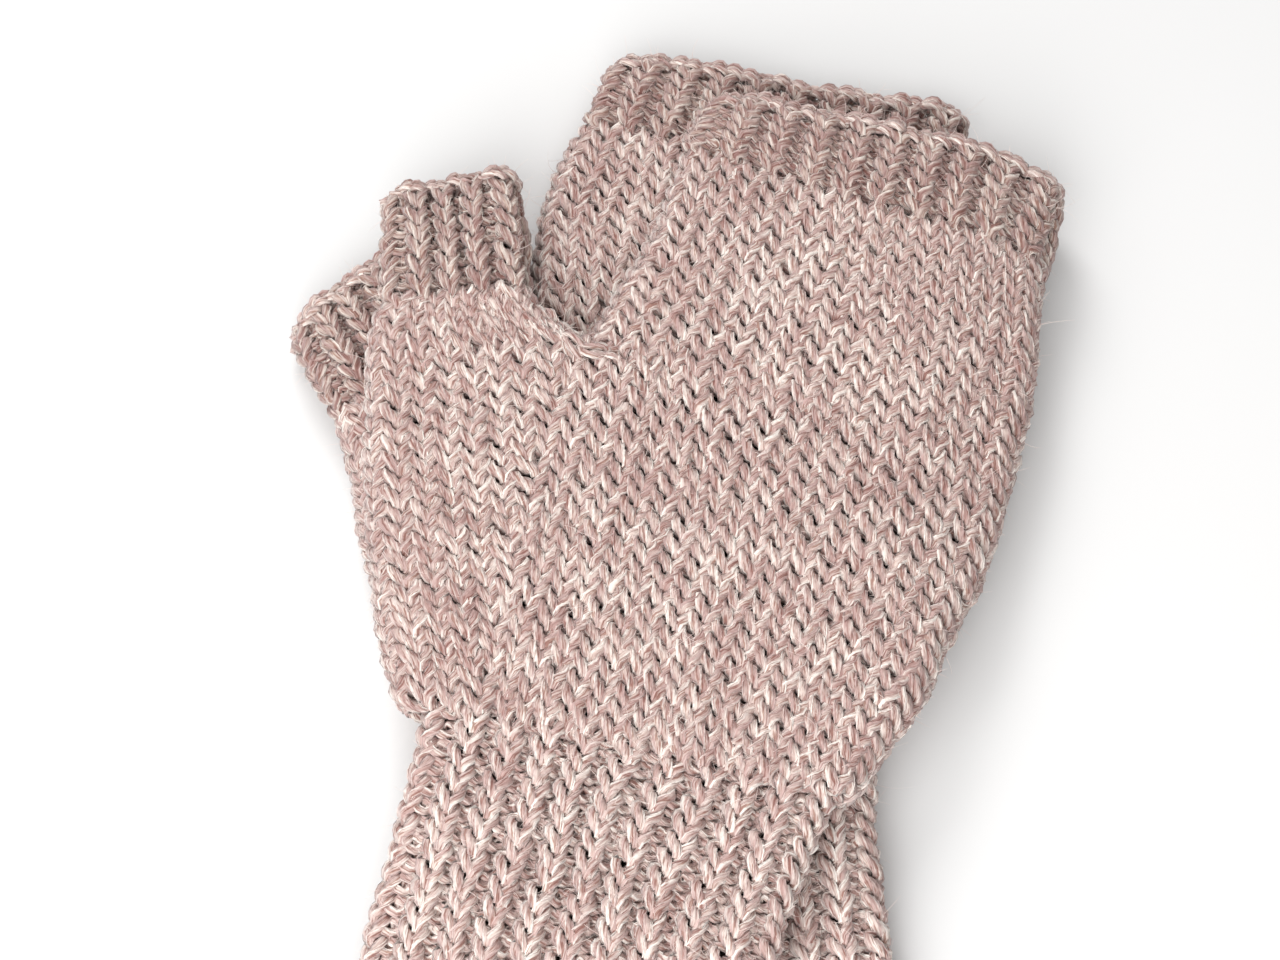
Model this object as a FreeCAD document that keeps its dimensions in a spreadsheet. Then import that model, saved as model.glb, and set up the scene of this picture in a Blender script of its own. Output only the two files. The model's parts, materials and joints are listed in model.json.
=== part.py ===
import FreeCAD, Part
import math
import os
import Sketcher

# A pair of hand-knitted fingerless gloves lying flat, one on the other.
#
# Each glove is a flattened knitted tube: a ribbed wrist cuff, a palm that widens
# for the thumb, a finger tube, a ribbed knuckle band, and a short thumb with a
# ribbed band of its own.  Every open end finishes in a cast-on or bind-off chain.
#
# Three plan frames carry the pieces, all in millimetres with Z up:
#   hand frame   origin in the middle of the hand, +Y towards the fingers
#   palm frame   origin in the middle of the wrist, turned by the glove's bend
#   thumb frame  origin in the middle of the thumb's base, turned by its lean

SIZES = (
    ("tube_height", 9.8, "thickness of one glove lying flat"),
    ("wall", 2.3, "thickness of the knitted fabric"),
    ("stack_gap", 0.3, "space between the two gloves"),
    ("joint_gap", 0.3, "space between pieces that move against each other"),
    ("run_out", 2.0, "how far a cutting shape runs past the piece it cuts"),
    ("wrist_x", -16.5, "middle of an unbent wrist in the hand frame"),
    ("wrist_y", -80.8, "middle of an unbent wrist in the hand frame"),
    ("wrist_half", 39.5, "half the palm's width at the wrist"),
    ("palm_middle", 36.0, "distance from the wrist to the palm's middle"),
    ("palm_middle_right", 52.0, "palm axis to the little-finger edge at the middle"),
    ("palm_middle_swell", 4.0, "how far the thumb edge bows out at the middle"),
    ("crotch_line", 72.4, "distance from the wrist to the thumb crotch"),
    ("palm_right", 59.0, "palm axis to the little-finger edge at the crotch"),
    ("crotch_bar", 2.6, "length of the stitches that close the crotch"),
    ("crotch_round", 1.1, "rounding of the crotch stitches"),
    ("band_line", 34.0, "start of the knuckle band in the hand frame"),
    ("band_half", 35.0, "half the hand's width where the band starts"),
    ("rim_line", 54.0, "end of the knuckle band in the hand frame"),
    ("rim_half", 33.0, "half the band's width at its end"),
    ("edge_length", 2.6, "length of a cast-on or bind-off chain"),
    ("edge_swell", 0.8, "how far a chain stands out past its band"),
    ("cuff_half", 35.5, "half the cuff's width"),
    ("cuff_length", 57.4, "length of the ribbed cuff without its cast-on chain"),
    ("thumb_radius", 15.5, "half the thumb's width at its base"),
    ("thumb_neck", 7.0, "length of plain knitting above the thumb's base"),
    ("thumb_neck_half", 14.0, "half the thumb's width where its band starts"),
    ("thumb_band", 19.0, "length of the thumb's ribbed band"),
    ("thumb_rim_half", 12.6, "half the thumb's width at its mouth"),
    ("swing_in", 15.0, "degrees that the thumb swings towards the hand"),
    ("swing_out", 20.0, "degrees that the thumb swings away from the hand"),
    ("top_bend", 6.0, "degrees that the palm is turned from the hand"),
    ("top_shift_x", 0.0, "place of the hand's middle"),
    ("top_shift_y", 0.0, "place of the hand's middle"),
    ("top_wrist_gap", 0.3, "space between palm and cuff"),
    ("top_palm_left", 64.0, "palm axis to the thumb edge at the crotch"),
    ("top_crotch_left", 23.2, "palm axis to the crotch"),
    ("top_thumb_x", -49.0, "middle of the thumb's base in the palm frame"),
    ("top_thumb_y", 75.9, "middle of the thumb's base in the palm frame"),
    ("top_thumb_lean", 18.0, "degrees that the thumb leans from the palm"),
    ("under_bend", 24.0, "degrees that the palm is turned from the hand"),
    ("under_shift_x", -20.5, "place of the hand's middle"),
    ("under_shift_y", 7.5, "place of the hand's middle"),
    ("under_wrist_gap", 0.0, "space between palm and cuff"),
    ("under_palm_left", 55.5, "palm axis to the thumb edge at the crotch"),
    ("under_crotch_left", 14.5, "palm axis to the crotch"),
    ("under_thumb_x", -40.5, "middle of the thumb's base in the palm frame"),
    ("under_thumb_y", 73.5, "middle of the thumb's base in the palm frame"),
    ("under_thumb_lean", 29.0, "degrees that the thumb leans from the palm"),
)

RADIUS = "Sizes.tube_height / 2"

doc = FreeCAD.newDocument("FingerlessGloves")
sheet = doc.addObject("Spreadsheet::Sheet", "Sizes")
for row, (alias, value, meaning) in enumerate(SIZES, start=1):
    sheet.set(f"A{row}", alias)
    sheet.set(f"B{row}", str(value))
    sheet.set(f"C{row}", meaning)
    sheet.setAlias(f"B{row}", alias)
doc.recompute()


def size(alias):
    """The value of a named size, in millimetres or degrees."""
    return float(getattr(sheet, alias))


def origin_plane(body, role):
    """The body's own origin plane with this role, such as XY_Plane."""
    return next(plane for plane in body.Origin.OriginFeatures if plane.Role == role)


def new_body(label, placement):
    """An empty body that will hold one piece."""
    body = doc.addObject("PartDesign::Body", label)
    body.Label = label
    body.Placement = placement
    return body


def new_sketch(body, name, role):
    """A sketch on one of the body's own origin planes."""
    sketch = body.newObject("Sketcher::SketchObject", name)
    sketch.AttachmentSupport = [(origin_plane(body, role), "")]
    sketch.MapMode = "FlatFace"
    return sketch


def bind(sketch, constraint, expression):
    """Add a constraint whose value follows an expression of the sheet's sizes."""
    number = sketch.addConstraint(constraint)
    sketch.setExpression(f"Constraints[{number}]", expression)


def slot_section(body, name, across, inset):
    """The rounded slot that a flattened tube shows when it is cut across.

    across is (x, y, tilt, left, right): the cut's own middle and tilt in plan, and
    the two edges of the tube, measured from that middle along the cut.
    """
    middle_x, middle_y, tilt, left, right = across
    sketch = new_sketch(body, name, "XZ_Plane")
    sketch.AttachmentOffset = FreeCAD.Placement(
        FreeCAD.Vector(0, 0, 0),
        FreeCAD.Rotation(FreeCAD.Vector(0, 1, 0), 1),
    )
    sketch.setExpression("AttachmentOffset.Base.x", middle_x)
    sketch.setExpression("AttachmentOffset.Base.z", f"-({middle_y})")
    sketch.setExpression("AttachmentOffset.Rotation.Angle", tilt)
    rough_half = 30.0
    rough_radius = 5.0
    up = FreeCAD.Vector(0, 0, 1)
    left_middle = FreeCAD.Vector(-rough_half, rough_radius, 0)
    right_middle = FreeCAD.Vector(rough_half, rough_radius, 0)
    rise = FreeCAD.Vector(0, rough_radius, 0)
    quarter = math.pi / 2
    left_circle = Part.Circle(left_middle, up, rough_radius)
    right_circle = Part.Circle(right_middle, up, rough_radius)
    sketch.addGeometry(Part.ArcOfCircle(left_circle, quarter, 3 * quarter))
    sketch.addGeometry(Part.LineSegment(left_middle - rise, right_middle - rise))
    sketch.addGeometry(Part.ArcOfCircle(right_circle, -quarter, quarter))
    sketch.addGeometry(Part.LineSegment(right_middle + rise, left_middle + rise))
    for first in range(4):
        second = (first + 1) % 4
        sketch.addConstraint(Sketcher.Constraint("Tangent", first, 2, second, 1))
    for arc, edge in ((0, f"{left} + {RADIUS}"), (2, f"{right} - {RADIUS}")):
        rough_x = -rough_half if arc == 0 else rough_half
        bind(sketch, Sketcher.Constraint("DistanceX", -1, 1, arc, 3, rough_x), edge)
        bind(sketch, Sketcher.Constraint("DistanceY", -1, 1, arc, 3, rough_radius), RADIUS)
        bind(sketch, Sketcher.Constraint("Radius", arc, rough_radius), f"{RADIUS} - {inset}")
    return sketch


def moved_along(across, step):
    """The same cut, moved by a step along the tube."""
    middle_x, middle_y, tilt, left, right = across
    return (
        f"{middle_x} - ({step}) * sin({tilt})",
        f"{middle_y} + ({step}) * cos({tilt})",
        tilt,
        left,
        right,
    )


def add_tube(body, cuts):
    """A flattened hollow tube through a list of cuts, open at both ends."""
    outer = [slot_section(body, f"outer{index}", cut, "0") for index, cut in enumerate(cuts)]
    shell = body.newObject("PartDesign::AdditiveLoft", "shell")
    shell.Profile = outer[0]
    shell.Sections = outer[1:]
    shell.Ruled = True
    open_cuts = [moved_along(cuts[0], "-Sizes.run_out")]
    open_cuts += cuts
    open_cuts += [moved_along(cuts[-1], "Sizes.run_out")]
    inner = [slot_section(body, f"inner{index}", cut, "Sizes.wall") for index, cut in enumerate(open_cuts)]
    hollow = body.newObject("PartDesign::SubtractiveLoft", "hollow")
    hollow.Profile = inner[0]
    hollow.Sections = inner[1:]
    hollow.Ruled = True
    for sketch in outer + inner:
        sketch.Visibility = False


def straight_cut(along, left, right):
    """A cut square to the frame's Y axis."""
    return ("0", along, "0 deg", left, right)


def add_through_pocket(body, name, sketch):
    """Cut the sketch's outline right through the tube, upwards from its underside."""
    pocket = body.newObject("PartDesign::Pocket", name)
    pocket.Profile = sketch
    pocket.Reversed = True
    pocket.setExpression("Length", "Sizes.tube_height + Sizes.run_out")
    sketch.setExpression("AttachmentOffset.Base.z", "-Sizes.run_out / 2")


def arc_of(radius, start_degrees, end_degrees):
    """A circular arc about the sketch's origin, counter-clockwise."""
    circle = Part.Circle(FreeCAD.Vector(0, 0, 0), FreeCAD.Vector(0, 0, 1), radius)
    return Part.ArcOfCircle(circle, math.radians(start_degrees), math.radians(end_degrees))


def round_thumb_base(body):
    """Trim the thumb's lower end to a half circle about its hinge."""
    sketch = new_sketch(body, "base_outline", "XY_Plane")
    radius = size("thumb_radius")
    outside = radius + size("run_out")
    corners = (
        FreeCAD.Vector(radius, 0, 0),
        FreeCAD.Vector(outside, 0, 0),
        FreeCAD.Vector(outside, -outside, 0),
        FreeCAD.Vector(-outside, -outside, 0),
        FreeCAD.Vector(-outside, 0, 0),
        FreeCAD.Vector(-radius, 0, 0),
    )
    sketch.addGeometry(arc_of(radius, 180, 360))
    for start, end in zip(corners, corners[1:]):
        sketch.addGeometry(Part.LineSegment(start, end))
    for first in range(6):
        second = (first + 1) % 6
        sketch.addConstraint(Sketcher.Constraint("Coincident", first, 2, second, 1))
    sketch.addConstraint(Sketcher.Constraint("Coincident", 0, 3, -1, 1))
    bind(sketch, Sketcher.Constraint("Radius", 0, radius), "Sizes.thumb_radius")
    for line in range(1, 6):
        sketch.addConstraint(Sketcher.Constraint("Horizontal" if line % 2 else "Vertical", line))
    sketch.addConstraint(Sketcher.Constraint("PointOnObject", 0, 1, -1))
    sketch.addConstraint(Sketcher.Constraint("PointOnObject", 0, 2, -1))
    outside_size = "Sizes.thumb_radius + Sizes.run_out"
    bind(sketch, Sketcher.Constraint("DistanceX", -1, 1, 1, 2, outside), outside_size)
    bind(sketch, Sketcher.Constraint("DistanceY", 3, 1, -1, 1, outside), outside_size)
    bind(sketch, Sketcher.Constraint("DistanceX", 4, 2, -1, 1, outside), outside_size)
    add_through_pocket(body, "base_trim", sketch)


def cut_thumb_socket(body, glove):
    """Cut the round socket that the thumb's base turns in, with room for its swing."""
    sketch = new_sketch(body, "socket_outline", "XY_Plane")
    sketch.AttachmentOffset = FreeCAD.Placement(
        FreeCAD.Vector(0, 0, 0),
        FreeCAD.Rotation(FreeCAD.Vector(0, 0, 1), 1),
    )
    sketch.setExpression("AttachmentOffset.Base.x", f"Sizes.{glove}_thumb_x")
    sketch.setExpression("AttachmentOffset.Base.y", f"Sizes.{glove}_thumb_y")
    sketch.setExpression("AttachmentOffset.Rotation.Angle", f"Sizes.{glove}_thumb_lean * 1 deg")
    radius = size("thumb_radius") + size("joint_gap")
    reach = 2 * radius
    out = size("swing_out")
    inward = size("swing_in")
    upright = FreeCAD.Vector(0, 0, 1)
    swung_out = FreeCAD.Rotation(upright, out)
    swung_in = FreeCAD.Rotation(upright, -inward)
    left_start = swung_out.multVec(FreeCAD.Vector(-radius, 0, 0))
    left_end = swung_out.multVec(FreeCAD.Vector(-radius, reach, 0))
    right_start = swung_in.multVec(FreeCAD.Vector(radius, 0, 0))
    right_end = swung_in.multVec(FreeCAD.Vector(radius, reach, 0))
    sketch.addGeometry(arc_of(radius, 180 + out, 360 - inward))
    sketch.addGeometry(Part.LineSegment(right_start, right_end))
    sketch.addGeometry(Part.LineSegment(right_end, left_end))
    sketch.addGeometry(Part.LineSegment(left_end, left_start))
    sketch.addConstraint(Sketcher.Constraint("Coincident", 0, 3, -1, 1))
    sketch.addConstraint(Sketcher.Constraint("Tangent", 0, 2, 1, 1))
    sketch.addConstraint(Sketcher.Constraint("Coincident", 1, 2, 2, 1))
    sketch.addConstraint(Sketcher.Constraint("Coincident", 2, 2, 3, 1))
    sketch.addConstraint(Sketcher.Constraint("Tangent", 3, 2, 0, 1))
    bind(sketch, Sketcher.Constraint("Radius", 0, radius), "Sizes.thumb_radius + Sizes.joint_gap")
    bind(sketch, Sketcher.Constraint("Distance", 1, reach), "2 * (Sizes.thumb_radius + Sizes.joint_gap)")
    bind(sketch, Sketcher.Constraint("Distance", 3, reach), "2 * (Sizes.thumb_radius + Sizes.joint_gap)")
    bind(
        sketch,
        Sketcher.Constraint("Angle", 1, math.radians(90 - inward)),
        "90 deg - Sizes.swing_in * 1 deg",
    )
    bind(
        sketch,
        Sketcher.Constraint("Angle", 3, math.radians(out - 90)),
        "Sizes.swing_out * 1 deg - 90 deg",
    )
    add_through_pocket(body, "socket", sketch)


# ---------------------------------------------------------------- placements

def hand_placement(glove, lift):
    """Where a glove's hand frame lies."""
    middle = FreeCAD.Vector(size(f"{glove}_shift_x"), size(f"{glove}_shift_y"), lift)
    return FreeCAD.Placement(middle, FreeCAD.Rotation())


def palm_placement(glove, lift):
    """Where a glove's palm frame lies: the wrist swings about the hand's middle."""
    bend = FreeCAD.Rotation(FreeCAD.Vector(0, 0, 1), size(f"{glove}_bend"))
    wrist = bend.multVec(FreeCAD.Vector(size("wrist_x"), size("wrist_y"), 0))
    return hand_placement(glove, lift).multiply(FreeCAD.Placement(wrist, bend))


def thumb_placement(glove, lift):
    """Where a glove's thumb frame lies."""
    base = FreeCAD.Vector(size(f"{glove}_thumb_x"), size(f"{glove}_thumb_y"), 0)
    lean = FreeCAD.Rotation(FreeCAD.Vector(0, 0, 1), size(f"{glove}_thumb_lean"))
    return palm_placement(glove, lift).multiply(FreeCAD.Placement(base, lean))


# ---------------------------------------------------------------- the pieces

def make_cuff(glove, place):
    """The ribbed wrist cuff, running down from the wrist."""
    body = new_body(f"{glove}_wrist_cuff", place)
    edges = ("-Sizes.cuff_half", "Sizes.cuff_half")
    add_tube(body, [
        straight_cut("-Sizes.cuff_length", *edges),
        straight_cut(f"-Sizes.{glove}_wrist_gap", *edges),
    ])
    return body


def make_cast_on(glove, place):
    """The cast-on chain round the cuff's open end."""
    body = new_body(f"{glove}_cast_on_edge", place)
    edges = (
        "-(Sizes.cuff_half + Sizes.edge_swell)",
        "(Sizes.cuff_half + Sizes.edge_swell)",
    )
    add_tube(body, [
        straight_cut("-(Sizes.cuff_length + Sizes.edge_length)", *edges),
        straight_cut("-Sizes.cuff_length", *edges),
    ])
    return body


def make_palm(glove, place):
    """Plain knitting from the wrist to the thumb crotch, wider on the thumb's side."""
    body = new_body(f"{glove}_palm", place)
    thumb_edge = f"-Sizes.{glove}_palm_left"
    middle_share = "Sizes.palm_middle / Sizes.crotch_line"
    bowed_edge = (
        f"-(Sizes.wrist_half + (Sizes.{glove}_palm_left - Sizes.wrist_half) * {middle_share}"
        " + Sizes.palm_middle_swell)"
    )
    add_tube(body, [
        straight_cut("0", "-Sizes.wrist_half", "Sizes.wrist_half"),
        straight_cut("Sizes.palm_middle", bowed_edge, "Sizes.palm_middle_right"),
        straight_cut("Sizes.crotch_line", thumb_edge, "Sizes.palm_right"),
    ])
    cut_thumb_socket(body, glove)
    return body


def make_crotch(glove, place):
    """The few stitches that close the gap between the thumb and the finger tube."""
    body = new_body(f"{glove}_crotch_stitches", place)
    sketch = new_sketch(body, "bar_outline", "XY_Plane")
    corners = (
        FreeCAD.Vector(-30, 70, 0),
        FreeCAD.Vector(-20, 70, 0),
        FreeCAD.Vector(-20, 75, 0),
        FreeCAD.Vector(-30, 75, 0),
    )
    for start, end in zip(corners, corners[1:] + corners[:1]):
        sketch.addGeometry(Part.LineSegment(start, end))
    for first in range(4):
        second = (first + 1) % 4
        sketch.addConstraint(Sketcher.Constraint("Coincident", first, 2, second, 1))
        sketch.addConstraint(Sketcher.Constraint("Vertical" if first % 2 else "Horizontal", first))
    clear_of_thumb = "Sizes.thumb_radius + 2 * Sizes.joint_gap"
    bind(
        sketch,
        Sketcher.Constraint("DistanceX", -1, 1, 0, 1, -30),
        f"Sizes.{glove}_thumb_x + {clear_of_thumb}",
    )
    bind(sketch, Sketcher.Constraint("DistanceX", -1, 1, 0, 2, -20), f"-Sizes.{glove}_crotch_left")
    bind(sketch, Sketcher.Constraint("DistanceY", -1, 1, 0, 1, 70), "Sizes.crotch_line")
    bind(sketch, Sketcher.Constraint("DistanceY", 1, 5), "Sizes.crotch_bar")
    pad = body.newObject("PartDesign::Pad", "bar")
    pad.Profile = sketch
    pad.setExpression("Length", "Sizes.tube_height")
    doc.recompute()
    free_edges = []
    for number, edge in enumerate(pad.Shape.Edges, start=1):
        middle = edge.CenterOfMass
        on_free_side = abs(middle.y - size("crotch_line") - size("crotch_bar")) < 0.01
        flat = abs(edge.BoundBox.ZLength) < 0.01
        if on_free_side and flat:
            free_edges.append(f"Edge{number}")
    rounding = body.newObject("PartDesign::Fillet", "rounding")
    rounding.Base = (pad, free_edges)
    rounding.setExpression("Radius", "Sizes.crotch_round")
    return body


def make_finger_tube(glove, place):
    """Plain knitting round the four fingers, from the crotch to the knuckle band."""
    body = new_body(f"{glove}_finger_tube", place)
    bend = f"Sizes.{glove}_bend * 1 deg"
    along = "(Sizes.wrist_y + Sizes.crotch_line)"
    lower_cut = (
        f"(Sizes.wrist_x * cos({bend}) - {along} * sin({bend}))",
        f"(Sizes.wrist_x * sin({bend}) + {along} * cos({bend}))",
        bend,
        f"-Sizes.{glove}_crotch_left",
        "Sizes.palm_right",
    )
    upper_cut = straight_cut("Sizes.band_line", "-Sizes.band_half", "Sizes.band_half")
    add_tube(body, [lower_cut, upper_cut])
    return body


def make_knuckle_band(glove, place):
    """The ribbed band round the knuckles, drawn in a little towards its rim."""
    body = new_body(f"{glove}_knuckle_band", place)
    add_tube(body, [
        straight_cut("Sizes.band_line", "-Sizes.band_half", "Sizes.band_half"),
        straight_cut("Sizes.rim_line", "-Sizes.rim_half", "Sizes.rim_half"),
    ])
    return body


def make_knuckle_bind_off(glove, place):
    """The bind-off chain round the knuckle band's open end."""
    body = new_body(f"{glove}_knuckle_bind_off", place)
    edges = (
        "-(Sizes.rim_half + Sizes.edge_swell)",
        "(Sizes.rim_half + Sizes.edge_swell)",
    )
    add_tube(body, [
        straight_cut("Sizes.rim_line", *edges),
        straight_cut("(Sizes.rim_line + Sizes.edge_length)", *edges),
    ])
    return body


def make_thumb_tube(glove, place):
    """Plain knitting of the thumb, with a round base that turns in the palm."""
    body = new_body(f"{glove}_thumb_tube", place)
    base_edges = ("-Sizes.thumb_radius", "Sizes.thumb_radius")
    neck_edges = ("-Sizes.thumb_neck_half", "Sizes.thumb_neck_half")
    add_tube(body, [
        straight_cut("-Sizes.thumb_radius", *base_edges),
        straight_cut("0", *base_edges),
        straight_cut("Sizes.thumb_neck", *neck_edges),
    ])
    round_thumb_base(body)
    return body


def make_thumb_band(glove, place):
    """The ribbed band at the thumb's end."""
    body = new_body(f"{glove}_thumb_band", place)
    add_tube(body, [
        straight_cut("Sizes.thumb_neck", "-Sizes.thumb_neck_half", "Sizes.thumb_neck_half"),
        straight_cut(
            "(Sizes.thumb_neck + Sizes.thumb_band)",
            "-Sizes.thumb_rim_half",
            "Sizes.thumb_rim_half",
        ),
    ])
    return body


def make_thumb_bind_off(glove, place):
    """The bind-off chain round the thumb's open end."""
    body = new_body(f"{glove}_thumb_bind_off", place)
    edges = (
        "-(Sizes.thumb_rim_half + Sizes.edge_swell)",
        "(Sizes.thumb_rim_half + Sizes.edge_swell)",
    )
    add_tube(body, [
        straight_cut("(Sizes.thumb_neck + Sizes.thumb_band)", *edges),
        straight_cut("(Sizes.thumb_neck + Sizes.thumb_band + Sizes.edge_length)", *edges),
    ])
    return body


def make_glove(glove, lift):
    """Every piece of one glove."""
    hand = hand_placement(glove, lift)
    palm = palm_placement(glove, lift)
    thumb = thumb_placement(glove, lift)
    return [
        make_cast_on(glove, palm),
        make_cuff(glove, palm),
        make_palm(glove, palm),
        make_crotch(glove, palm),
        make_finger_tube(glove, hand),
        make_knuckle_band(glove, hand),
        make_knuckle_bind_off(glove, hand),
        make_thumb_tube(glove, thumb),
        make_thumb_band(glove, thumb),
        make_thumb_bind_off(glove, thumb),
    ]


def put_origin_under_the_pair(pieces):
    """Move every piece so that the origin lies below the middle of the pair."""
    box = FreeCAD.BoundBox()
    for piece in pieces:
        box.add(piece.Shape.optimalBoundingBox(False))
    step = FreeCAD.Vector(-box.Center.x, -box.Center.y, -box.ZMin)
    for piece in pieces:
        place = piece.Placement
        place.Base = place.Base + step
        piece.Placement = place
    return step


def check_document(pieces):
    """Stop if any object failed or any piece isn't one valid solid."""
    for item in doc.Objects:
        for state in item.State:
            if state in ("Invalid", "Error"):
                raise RuntimeError(f"{item.Label} is {state}")
    for piece in pieces:
        shape = piece.Shape
        if shape.isNull() or not shape.isValid() or len(shape.Solids) != 1:
            raise RuntimeError(f"{piece.Label} isn't one valid solid")


def check_cuts(pieces):
    """Stop if a hollow or a trim removed nothing."""
    for piece in pieces:
        for feature in piece.Group:
            if feature.TypeId in ("PartDesign::SubtractiveLoft", "PartDesign::Pocket"):
                before = feature.BaseFeature.Shape.Volume
                if feature.Shape.Volume > before - 1:
                    raise RuntimeError(f"{piece.Label}: {feature.Name} cuts nothing")


lift_of = {"under": 0, "top": size("tube_height") + size("stack_gap")}
all_pieces = make_glove("under", lift_of["under"]) + make_glove("top", lift_of["top"])
doc.recompute()
check_document(all_pieces)
check_cuts(all_pieces)
step_to_origin = put_origin_under_the_pair(all_pieces)
doc.recompute()
check_document(all_pieces)

os.makedirs("parts", exist_ok=True)
for piece in all_pieces:
    piece.Shape.exportStep(f"parts/{piece.Label}.step")
    print(piece.Label, round(piece.Shape.Volume), "mm3")
for glove, lift in lift_of.items():
    frames = {
        "hand": hand_placement(glove, lift),
        "wrist": palm_placement(glove, lift),
        "thumb": thumb_placement(glove, lift),
    }
    for name, place in frames.items():
        spot = [round(value, 3) for value in place.Base + step_to_origin]
        turned = round(math.degrees(place.Rotation.Angle), 2)
        print(glove, name, "frame at", spot, "turned", turned)
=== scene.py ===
"""Blender scene: a pair of hand-knitted fingerless gloves, one lying on the other.

Every section of the gloves is knitted here from its yarn. A course is one closed
yarn that runs round the flattened tube in loops, and each course's loops pass
through the course before it. Plan positions are in millimetres until the meshes
are made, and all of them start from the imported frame's mounts.
"""

import json
import math

import bpy
import numpy as np
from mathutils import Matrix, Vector


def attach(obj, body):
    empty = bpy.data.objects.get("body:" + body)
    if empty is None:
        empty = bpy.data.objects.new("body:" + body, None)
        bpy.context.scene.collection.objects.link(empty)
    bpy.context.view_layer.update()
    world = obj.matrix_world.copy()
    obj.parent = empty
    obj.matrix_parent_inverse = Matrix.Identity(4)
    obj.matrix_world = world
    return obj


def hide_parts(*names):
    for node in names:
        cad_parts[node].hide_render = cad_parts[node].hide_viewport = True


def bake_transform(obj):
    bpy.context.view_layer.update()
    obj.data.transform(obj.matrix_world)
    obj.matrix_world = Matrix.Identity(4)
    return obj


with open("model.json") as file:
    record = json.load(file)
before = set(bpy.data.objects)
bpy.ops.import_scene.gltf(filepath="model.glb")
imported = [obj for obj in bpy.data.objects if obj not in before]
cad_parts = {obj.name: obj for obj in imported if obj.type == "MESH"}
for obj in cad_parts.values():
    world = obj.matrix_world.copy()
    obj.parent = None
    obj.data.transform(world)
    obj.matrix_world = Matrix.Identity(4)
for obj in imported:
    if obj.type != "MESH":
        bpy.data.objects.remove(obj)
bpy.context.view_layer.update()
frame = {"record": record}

MM = 0.001
random = np.random.default_rng(20)

# ---------------------------------------------------------------- sizes, in millimetres

STITCH_WIDTH = 4.67
YARN_RADIUS = 1.09
RIB_YARN_RADIUS = 0.95
LOBE = 0.19                # how far a ply stands out, as a share of the yarn's radius
PLY_PITCH = 11.0           # length of yarn in which the plies go round once
PLY_CREAM = (1.0, 0.05, 0.62, 0.0)     # how creamy each ply is; the rest of it is pink
RING_POINTS = 2 * len(PLY_CREAM)       # a point on each ply's crest and one in each groove
STITCH_STEPS = 26          # rings of the yarn's tube in one stitch
WOBBLE = 0.06              # how much the yarn's thickness varies
WOBBLE_LENGTH = 31
DRIFT = 0.22               # how much a yarn's creaminess varies along it
DRIFT_LENGTHS = (190, 83, 37)
STRAND_SQUEEZE = 0.15      # width over length of a streak of fibre

HAIR_RADIUS = 0.048
HAIR_STEPS = 4
HAIR_SCATTER = 0.55        # how far a hair's heading strays from straight outward
HAIR_CURL = 0.55           # how far a hair's tip bends aside, as a share of its length
HAIR_TAPER = 0.6           # how much thinner a hair's tip is than its root
HAIR_LENGTHS = (0.8, 6.0)  # the shortest and the longest
HAIR_SPREAD = (1.8, 1.1)   # shape and scale of the gamma spread that lengths come from
HAIRS_PER_STITCH = 5.0

LEG_SPREAD = 0.33          # how far a stitch's legs open towards its head
LOOP_REACH = 0.42          # how far a loop passes into the next course, in rows
LOOP_DEPTH = 0.66          # how far the yarn goes in and out of the fabric
LEG_RISE = (-0.38, 0.08)   # rows between which a leg comes from the back to the front
LEG_THICKNESS = (0.90, 1.08)           # the yarn's thickness at the back and at the front
STITCH_END = 0.7           # how much of the turn through a stitch counts as its end, in radians
STITCH_JITTER = (0.05, 0.06, 0.18)     # across in widths, along in rows, and in depth
# How far a stitch leans to its left, in widths a row: near a tube's left edge, and beyond.
PALM_SKEW = (0.16, 0.33)
FINGER_SKEW = (0.34, 0.25)
THUMB_SKEW = (0.12, 0.12)
BAND_SKEW = (0.15, 0.15)
CUFF_SKEW = (0.18, 0.18)
SKEW_SPAN = (0.15, 0.45)   # shares of the front between which the one becomes the other
RIB_LOOP_WIDTH = 0.92      # width of a rib stitch, as a share of a plain one's
RIB_DEPTH = 1.05           # how far knit wales stand out and purl wales sink
PURL_REACH = 0.68          # how far a purl loop goes each way from its middle, in rows
RIB_KNIT_SHARE = 0.62      # share of a rib pair's width that the knit wale takes

LINK_STEPS = 18            # rings of the yarn's tube in one link of an edge chain
LINK_REACH = 0.68          # how far a link goes each way from its middle, in pitches
LINK_JITTER = (0.13, 0.45, 0.42)       # along in pitches, across, and in depth
BIND_OFF_ROW = 0.15        # how far past a band's last row its bind-off lies, in rows
CAST_ON_ROW = -0.25        # where the cast-on lies from the cuff's first row

CUFF_LENGTH = 58.5
DROOP = 5.0                # how far the top glove sinks where nothing is under it
DROOP_SPAN = (-4, 20)      # distances past the under glove's outline where it starts and ends
TOP_GLOVE_HEIGHT = (9.6, 10.6)         # between the two gloves' fabric
WAVE_LENGTHS = (17, 23, 31, 43)
WAVE_SIZE = (0.28, 0.28, 0.22)

PALM_ROWS = 21
FINGER_ROWS = 14
BAND_ROWS = 6
THUMB_ROWS = 4
THUMB_BAND_ROWS = 6
CUFF_ROWS = 17
RIGHT_WALES = 17
FINGER_WALES = 34
BAND_WALES = 40
THUMB_WALES = 20
CUFF_WALES = 42
KNUCKLE_LINKS = BAND_WALES + 8
THUMB_LINKS = THUMB_WALES + 4
CROTCH_LINKS = 11

# Half the height of each flattened tube, to the fabric's middle, from first row to last.
SWELLS = {
    "palm": (3.9, 3.6, 3.5),
    "fingers": (3.5, 3.6, 2.7),
    "band": (3.0, 4.5, 4.1),
    "thumb": (3.5, 3.5, 3.0),
    "thumb_band": (3.1, 4.2, 4.0),
    "cuff": (3.8, 3.6, 3.1),
    "crotch": (3.8, 3.8),
}

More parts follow.
